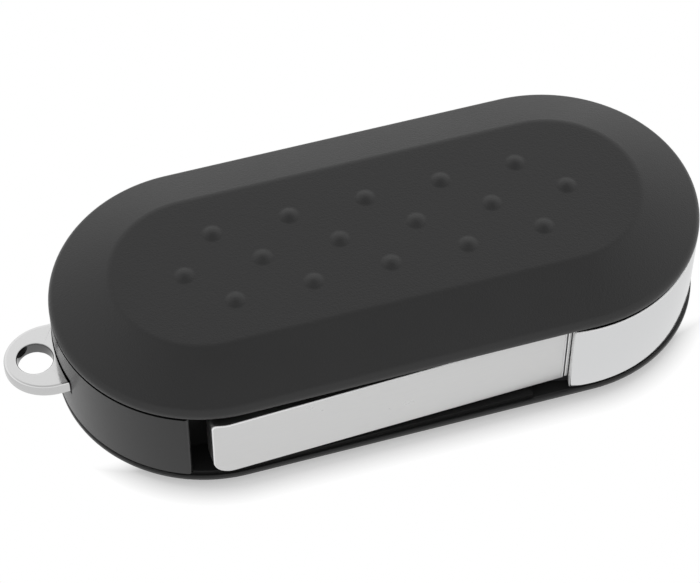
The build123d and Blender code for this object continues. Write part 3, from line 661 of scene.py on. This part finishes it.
hub_chrome = plated("hub_chrome", (0.79, 0.795, 0.8), 0.05, 5.0, 0.004, 0.08, 0.97)
refinish(hub_chrome, "release_button", "release_ring")
band_section = rounded_line(
    [
        (band_inner_radius, band_low_z),
        (band_outer_radius, band_low_z),
        (band_outer_radius, band_high_z),
        (band_inner_radius, band_high_z),
    ],
    [0, band_edge_round, band_edge_round, 0],
    4,
)
band_arc = (2 * pi - (band_start - band_stop)) * band_outer_radius
band_middles = [(0, band_arc * step / band_turns) for step in range(1, band_turns)]
band_rings = []
for shrink, along in rounded_steps(band_arc, band_edge_round, 4, band_middles):
    turn = band_start + along / band_outer_radius
    radial = Vector((cos(turn), sin(turn)))
    band_rings.append([at_height(pivot + radial * point.x, point.y) for point in inset(band_section, shrink)])
band_bm = bmesh.new()
solid_rings(band_bm, band_rings)
band = finish_piece(band_bm, "hub_band_skin", hub_chrome, "blade_hub", nodes=["hub_band"])
# Painted light: the band's ends and rounded edges are marked pale and not metallic
mark_faces(band, "painted_light_face", gets_painted_light)


# Blade, key-ring tab and the steel pins.
# Nickel-plated steel: the blank is stamped and ground, so fine lines run along its flat face, and its edges
# carry a painted highlight. The tab is stamped and tumbled, with painted shade in its hole, on its sides and
# where it enters the case. The pins are drawn wire, pressed in.
blade_root = Vector((16.95, -15.8, 7.2))
blade_along = Vector((-cos(blade_tilt), -sin(blade_tilt), 0))
blade_inward = Vector((-sin(blade_tilt), cos(blade_tilt), 0))
blade_length = 40.8
blade_height = 8.6
blade_thickness = 2.3
blade_tip_round = 2.4
blade_nib_length = 1.75
blade_nib_height = 0.55
blade_nib_round = 0.45
blade_edge = 0.22
blade_shoulder = 0.5
tang_length = 6.6
tang_height = 7.0
tang_lap = 0.9
tang_edge = 0.08
heel_start = -0.03
heel_length = 0.36
heel_height = 8.4
heel_lap = 0.06
# A mark over nothing is a painted highlight on a face; one under nothing is bare metal, darker by that share
# as painted shade
bare_metal = -0.06
bare_gain = 20


def ground_steel(name, colour, roughness, line_depth, stretch, highlight_grey=0.9, metal=1):
    """Steel with fine ground lines along one direction, with a painted highlight or painted shade where a
    face is marked so.
    """
    line_size = 0.12
    wear_size = 3
    material, tree, shader, place = new_material(name)
    drawn = tree.nodes.new("ShaderNodeMapping")
    drawn.inputs["Scale"].default_value = stretch
    tree.links.new(place, drawn.inputs["Vector"])
    lines = noise(tree, drawn.outputs["Vector"], line_size, 3)
    emboss(tree, shader, lines, line_depth)
    gloss = spread(tree, noise(tree, place, wear_size, 6), roughness * 0.8, roughness * 1.2)
    tree.links.new(gloss, shader.inputs["Roughness"])
    tint = blend(tree, lines, [0.97 * part for part in colour], [1.02 * part for part in colour])
    # Painted highlight where a face's mark is over nothing, painted shade where it is under
    marked = tree.nodes.new("ShaderNodeAttribute")
    marked.attribute_name = "painted_light_and_shade"
    painted_mark = marked.outputs["Fac"]
    edge = blend(tree, painted_mark, tint, (highlight_grey, highlight_grey, highlight_grey))
    shade = maths(tree, "MULTIPLY", painted_mark, -1, clamp=True)
    bare = maths(tree, "MULTIPLY", shade, bare_gain, clamp=True)
    mirror = maths(tree, "MAXIMUM", spread(tree, painted_mark, metal, 0), bare)
    tree.links.new(mirror, shader.inputs["Metallic"])
    tree.links.new(blend(tree, shade, edge, (0, 0, 0)), shader.inputs["Base Color"])
    return material


def on_blade(x, y, depth):
    """Place at x along the blade, y over its middle and a depth behind its face."""
    return blade_root + blade_along * x + Vector((0, 0, y)) + blade_inward * depth


def blade_shade(face):
    """1 on the rounded edges, a painted highlight, nothing on the two flats, and bare metal on the back,
    front edge and tip.
    """
    across = abs(face.normal.dot(blade_inward))
    return bare_metal if across < side_up_to else across < flat_from


blade_steel = ground_steel(
    "blade_steel", (0.74, 0.74, 0.737), 0.3, 0.0015, (0.04, 1, 1), highlight_grey=0.98, metal=0.35
)
half_height = blade_height / 2
blade_outline = rounded_line(
    [
        (0, 0),
        (0, -half_height),
        (blade_length, -half_height),
        (blade_length, half_height + blade_nib_height),
        (blade_length - blade_nib_length, half_height),
        (0, half_height),
    ],
    [0, 0, blade_tip_round, blade_nib_round, blade_nib_length, 0],
    8,
)
shoulder_steps = [(0, blade_shoulder * share) for share in (0.4, 0.6, 0.8, 1)]
blade_rings = []
for shrink, depth in rounded_steps(blade_thickness, blade_edge, 4, shoulder_steps):
    cut = max(0, blade_shoulder - depth)
    root_x = blade_shoulder - sqrt(blade_shoulder**2 - cut**2)
    outline = inset(blade_outline, shrink)
    blade_rings.append([on_blade(max(point.x, root_x), point.y, depth) for point in outline])
blade_bm = bmesh.new()
solid_rings(blade_bm, blade_rings)
tang_size = (blade_shoulder + blade_edge, tang_length, tang_height / 2, tang_lap)
heel_size = (heel_start, heel_length, heel_height / 2, heel_lap)
for start, reach, half, lap in (tang_size, heel_size):
    corners = [Vector((start, -half)), Vector((start, half)), Vector((-reach, half)), Vector((-reach, -half))]
    tang_rings = [
        [on_blade(point.x, point.y, lap + depth) for point in inset(corners, shrink)]
        for shrink, depth in rounded_steps(blade_thickness - lap - blade_edge, tang_edge, 2)
    ]
    solid_rings(blade_bm, tang_rings)
blade = finish_piece(
    blade_bm, "blade_blank", blade_steel, "blade_hub", nodes=["blade"], crease=20
)
# Painted highlight on the blade's rounded edges; its back, front edge and tip are bare metal
mark_faces(blade, "painted_light_and_shade", blade_shade)

tab_z = 7.4
tab_wall = 1.6
tab_edge_round = 0.35
tab_hole_x = -39.35
tab_hole_radius = 2.0
tab_hole_edge = 0.15
tab_shadow_gap = 0.1
tab_nose_length = 5.1
tab_half_width = 4.4
tab_nose_x = -37.71
tab_root_x = -36.1
tail_lap = 0.05
tail_half_width = 4.0
tail_end_x = -32.0
tail_wall = 1.56
tail_edge_round = 0.1
loop_pin_x = -33.6
loop_pin_radius = 1.0
pin_clearance = 0.02
nose_steps = 96
# Painted shade marks of the same kind for the hole and the stamped sides, and how squarely up or down a side
# still looks
hole_shade = -0.84
side_shade = -0.27
side_below = 0.7


def straight_up(x, half_width, steps=24):
    """Points in even steps along a line across the tab."""
    return [Vector((x, half_width * (2 * step / steps - 1))) for step in range(steps + 1)]


def pierced_plate(bm, outline, hole_x, hole_radius, thickness, edge_round, hole_round):
    """A flat plate about the tab's middle height, with a round hole and rounded edges."""
    towards = [(point - Vector((hole_x, 0))).normalized() for point in outline]
    rings = []
    for shrink, height in rounded_steps(thickness, edge_round, 6):
        z = tab_z - thickness / 2 + height
        rings.append([at_height(point, z) for point in inset(outline, shrink)])
    for shrink, height in rounded_steps(thickness, hole_round, 4):
        z = tab_z + thickness / 2 - height
        reach = hole_radius + shrink
        rings.append([Vector((hole_x + way.x * reach, way.y * reach, z)) for way in towards])
    stack_rings(bm, rings, closed=True)


def tab_shade(face):
    """Painted shade: dark in the hole, a little darker on the stamped sides, and nothing on the two flat
    faces.
    """
    from_hole = (face.center.xy - Vector((tab_hole_x * MM, 0))).length
    in_hole = from_hole < (tab_hole_radius + tab_hole_edge / 2) * MM
    return hole_shade if in_hole else side_shade * (abs(face.normal.z) < side_below)


tab_steel = ground_steel("tab_steel", (0.92, 0.92, 0.92), 0.1, 0.001, (1, 1, 1))
# Painted shadow: a thin dark band on the tab where it enters the case wall
paint_shade_inside(tab_steel, case_end_radius + tab_shadow_gap)
nose = [
    Vector((tab_nose_x - tab_nose_length * sin(turn), tab_half_width * cos(turn)))
    for turn in [pi * step / nose_steps for step in range(nose_steps + 1)]
]
tab_outline = nose + straight_up(tab_root_x, tab_half_width)
tail_outline = straight_up(tail_end_x, tail_half_width)
tail_outline += reversed(straight_up(tab_root_x - tail_lap, tail_half_width))
tail_hole_radius = loop_pin_radius + pin_clearance
tab_bm = bmesh.new()
pierced_plate(tab_bm, tab_outline, tab_hole_x, tab_hole_radius, tab_wall, tab_edge_round, tab_hole_edge)
pierced_plate(
    tab_bm, tail_outline, loop_pin_x, tail_hole_radius, tail_wall, tail_edge_round, tail_edge_round
)
tab = finish_piece(
    tab_bm, "key_ring_tab", tab_steel, "case", nodes=["key_ring_loop"], crease=25
)
# Painted shade in the tab's hole and on its stamped sides
mark_faces(tab, "painted_light_and_shade", tab_shade)

pin_steel = ground_steel("pin_steel", (0.55, 0.55, 0.56), 0.3, 0.001, (1, 1, 0.05))
refinish(pin_steel, "blade_pin", "loop_pin")


# Working parts inside the hub.
# The drum and the lock are moulded in hard slippery plastic, black and grey, with a thin washer of white
# plastic over the drum. The flip spring is oiled music wire.
rotor_black = moulded_plastic("rotor_black", (0.03, 0.03, 0.031), 0.3, 0.25, 0.008)
lock_grey = moulded_plastic("lock_grey", (0.3, 0.3, 0.3), 0.38, 0.25, 0.008)
washer_white = moulded_plastic("washer_white", (0.66, 0.66, 0.63), 0.42, 0.2, 0.006)
spring_steel = ground_steel("spring_steel", (0.4, 0.4, 0.41), 0.26, 0.002, (1, 1, 1))
refinish(rotor_black, "hub_rotor")
refinish(lock_grey, "lock_dog")
refinish(washer_white, "hub_washer")
refinish(spring_steel, "flip_spring")


# Key caps.
# Three separate caps of black plastic in a row in the button face, each with rounded corners and a
# shallow dish for the finger, held from behind by a thin flange.
key_places = {"lock_button": -24.4, "unlock_button": -15.0, "boot_button": -5.6}
key_bodies = {"lock_button": "lock_key", "unlock_button": "unlock_key", "boot_button": "boot_key"}
key_length = 7.6
key_width = 10.5
key_corner = 2.2
key_face_z = 0.15
key_flange_z = 1.2
key_top_z = 1.8
key_flange = 0.6
key_round = 0.35
key_dish = 0.28
key_corner_steps = 12
key_side_steps = 10
key_dish_steps = 14
key_round_steps = 8


def rounded_rectangle(length, width, corner):
    """Points round a rectangle with round corners, with as many points on every side."""
    half_x = length / 2 - corner
    half_y = width / 2 - corner
    middles = [(half_x, half_y), (-half_x, half_y), (-half_x, -half_y), (half_x, -half_y)]
    points = []
    for quarter, (x, y) in enumerate(middles):
        for step in range(key_corner_steps + 1):
            angle = pi / 2 * (quarter + step / key_corner_steps)
            points.append(Vector((x + corner * cos(angle), y + corner * sin(angle))))
        next_x, next_y = middles[(quarter + 1) % 4]
        start = points[-1]
        run = Vector((next_x - x, next_y - y))
        points += [start + run * step / key_side_steps for step in range(1, key_side_steps)]
    return points


def close_at_point(bm, row, point):
    """Close a row of corners with triangles that meet in a point."""
    tip = bm.verts.new(point * MM)
    for index, corner in enumerate(row):
        bm.faces.new((tip, row[(index + 1) % len(row)], corner))


key_black = moulded_plastic("key_black", (0.035, 0.035, 0.036), 0.4, 0.14, 0.012)
key_body = rounded_rectangle(key_length, key_width, key_corner)
key_foot = rounded_rectangle(
    key_length + 2 * key_flange, key_width + 2 * key_flange, key_corner + key_flange
)
key_levels = []
# Dished face, from its middle out to the start of the rounded edge
for step in range(1, key_dish_steps + 1):
    share = step / key_dish_steps
    shrink = share * (1 - 2 * key_round / key_length)
    key_levels.append((key_body, shrink, key_face_z + key_dish * (1 - share**2) ** 2))
# Rounded edge, side and flange
for step in range(1, key_round_steps + 1):
    turn = pi / 2 * step / key_round_steps
    shrink = 1 - 2 * key_round * (1 - sin(turn)) / key_length
    key_levels.append((key_body, shrink, key_face_z + key_round * (1 - cos(turn))))
key_levels += [(key_body, 1, key_flange_z), (key_foot, 1, key_flange_z), (key_foot, 1, key_top_z)]
for name, key_x in key_places.items():
    middle = Vector((key_x, 0))
    key_rings = [
        [at_height(middle + point * shrink, height) for point in outline]
        for outline, shrink, height in key_levels
    ]
    key_bm = bmesh.new()
    rows = stack_rings(key_bm, key_rings)
    close_at_point(key_bm, rows[0], at_height(middle, key_face_z + key_dish))
    key_bm.faces.new(rows[-1])
    finish_piece(key_bm, name + "_cap", key_black, key_bodies[name], nodes=[name])


# Keypad mat and battery contacts.
# The mat is grey silicone rubber, matt and slightly dusty. The contacts are strips of phosphor bronze,
# pressed and bent, with the drawn lines of the strip along them.
mat_grey = moulded_plastic("mat_grey", (0.09, 0.09, 0.094), 0.75, 0.1, 0.02)
refinish(mat_grey, "keypad_mat")
contact_bronze = ground_steel("contact_bronze", (0.72, 0.5, 0.28), 0.3, 0.002, (1, 0.05, 0.05))
refinish(contact_bronze, "battery_contact_negative", "battery_contact_positive")


# Case screws.
# Four small blackened steel screws with a cross recess in a rounded head and a coarse thread for plastic,
# driven down into the bosses of the front case.
screw_seat_z = 7.6
screw_head_radius = 1.5
screw_head_height = 1.0
screw_head_round = 0.3
screw_head_flat = 0.2
screw_shank_radius = 0.7
screw_core_radius = 0.52
screw_length = 5.6
screw_tip = 0.6
screw_tip_share = 0.35
thread_pitch = 0.6
thread_sharpness = 4
steps_a_pitch = 4
recess_arm = 0.95
recess_width = 0.32
recess_depth = 0.6
recess_floor_share = 0.45
recess_top_share = 1.15
screw_sides = 36
end_boss_out = 13.6
end_boss_angle = radians(35)
back_boss_y = 13.5
pocket_boss_y = -9.6
boss_from_pivot = 20.6
end_boss_x = case_left_x - end_boss_out * cos(end_boss_angle)
end_boss_y = end_boss_out * sin(end_boss_angle)
screw_places = [(end_boss_x, -end_boss_y, 0), (end_boss_x, end_boss_y, 0)] + [
    (case_right_x - sqrt(boss_from_pivot**2 - y**2), y, 0) for y in (back_boss_y, pocket_boss_y)
]


def thread_radius(depth):
    """Radius of the threaded shank at a depth under the head, with pointed crests."""
    phase = (depth / thread_pitch) % 1
    crest = max(0, 1 - abs(phase - 0.5) * thread_sharpness)
    taper = min(1, (screw_length - depth) / screw_tip)
    radius = screw_core_radius + (screw_shank_radius - screw_core_radius) * crest
    return radius * (screw_tip_share + (1 - screw_tip_share) * taper)


def loose_form(bm, name):
    """A form with its faces outward, which serves to make a piece and is removed after."""
    bmesh.ops.recalc_face_normals(bm, faces=bm.faces)
    mesh = bpy.data.meshes.new(name)
    bm.to_mesh(mesh)
    bm.free()
    form = bpy.data.objects.new(name, mesh)
    bpy.context.scene.collection.objects.link(form)
    return form


def screw_tree(material):
    """Geometry Nodes: set a copy of the screw on each point, each turned its own way."""
    tree, given = open_tree("set_screws", {"Screw": "NodeSocketObject", "Seed": "NodeSocketInt"})
    info = tree.nodes.new("GeometryNodeObjectInfo")
    tree.links.new(given["Screw"], info.inputs["Object"])
    turns = tree.nodes.new("FunctionNodeRandomValue")
    turns.data_type = "FLOAT"
    turns.inputs[3].default_value = pi / 2
    tree.links.new(given["Seed"], turns.inputs["Seed"])
    rotation = tree.nodes.new("ShaderNodeCombineXYZ")
    tree.links.new(turns.outputs[1], rotation.inputs["Z"])
    copy_to_points(tree, given["Points"], info.outputs["Geometry"], material, rotation.outputs[0])
    return tree


screw_top_z = screw_seat_z + screw_head_height
screw_low_z = screw_seat_z - screw_length
thread_steps = int(screw_length / thread_pitch * steps_a_pitch)
shank_line = []
for step in range(thread_steps, 0, -1):
    depth = screw_length * step / thread_steps
    shank_line.append((thread_radius(depth), screw_seat_z - depth))
head_line = rounded_line(
    [
        (screw_shank_radius, screw_seat_z),
        (screw_head_radius, screw_seat_z),
        (screw_head_radius, screw_top_z),
        (screw_head_flat, screw_top_z),
    ],
    [0, 0, screw_head_round, 0],
    6,
)
turns = [2 * pi * side / screw_sides for side in range(screw_sides)]
screw_rings = [
    [Vector((radius * cos(turn), radius * sin(turn), z)) for turn in turns]
    for radius, z in shank_line + head_line
]
screw_bm = bmesh.new()
rows = stack_rings(screw_bm, screw_rings)
close_at_point(screw_bm, rows[0], Vector((0, 0, screw_low_z)))
close_at_point(screw_bm, rows[-1], Vector((0, 0, screw_top_z)))
screw_form = loose_form(screw_bm, "screw_form")
recess_corners = ((-1, -1), (1, -1), (1, 1), (-1, 1))
recess_ends = (
    (screw_top_z - recess_depth, recess_arm * recess_floor_share),
    (screw_top_z + recess_width, recess_arm * recess_top_share),
)
recess_bm = bmesh.new()
for turn in (0, pi / 2):
    along = Vector((cos(turn), sin(turn)))
    across = Vector((-sin(turn), cos(turn))) * (recess_width / 2)
    recess_rings = [
        [at_height(along * (side * reach) + across * edge, z) for side, edge in recess_corners]
        for z, reach in recess_ends
    ]
    solid_rings(recess_bm, recess_rings)
recess_form = loose_form(recess_bm, "recess_form")
cut = screw_form.modifiers.new("recess", "BOOLEAN")
cut.operation = "DIFFERENCE"
cut.solver = "EXACT"
cut.use_self = True
cut.object = recess_form
screw_steel = ground_steel("screw_steel", (0.16, 0.16, 0.165), 0.34, 0.003, (1, 1, 1))
screws = grow(screw_tree(screw_steel), {"Screw": screw_form, "Seed": 4}, screw_places, "case_screws_set")
bpy.data.objects.remove(screw_form)
bpy.data.objects.remove(recess_form)
hand_over(screws, "case_screws_set", "case", nodes=["case_screws"], crease=35)
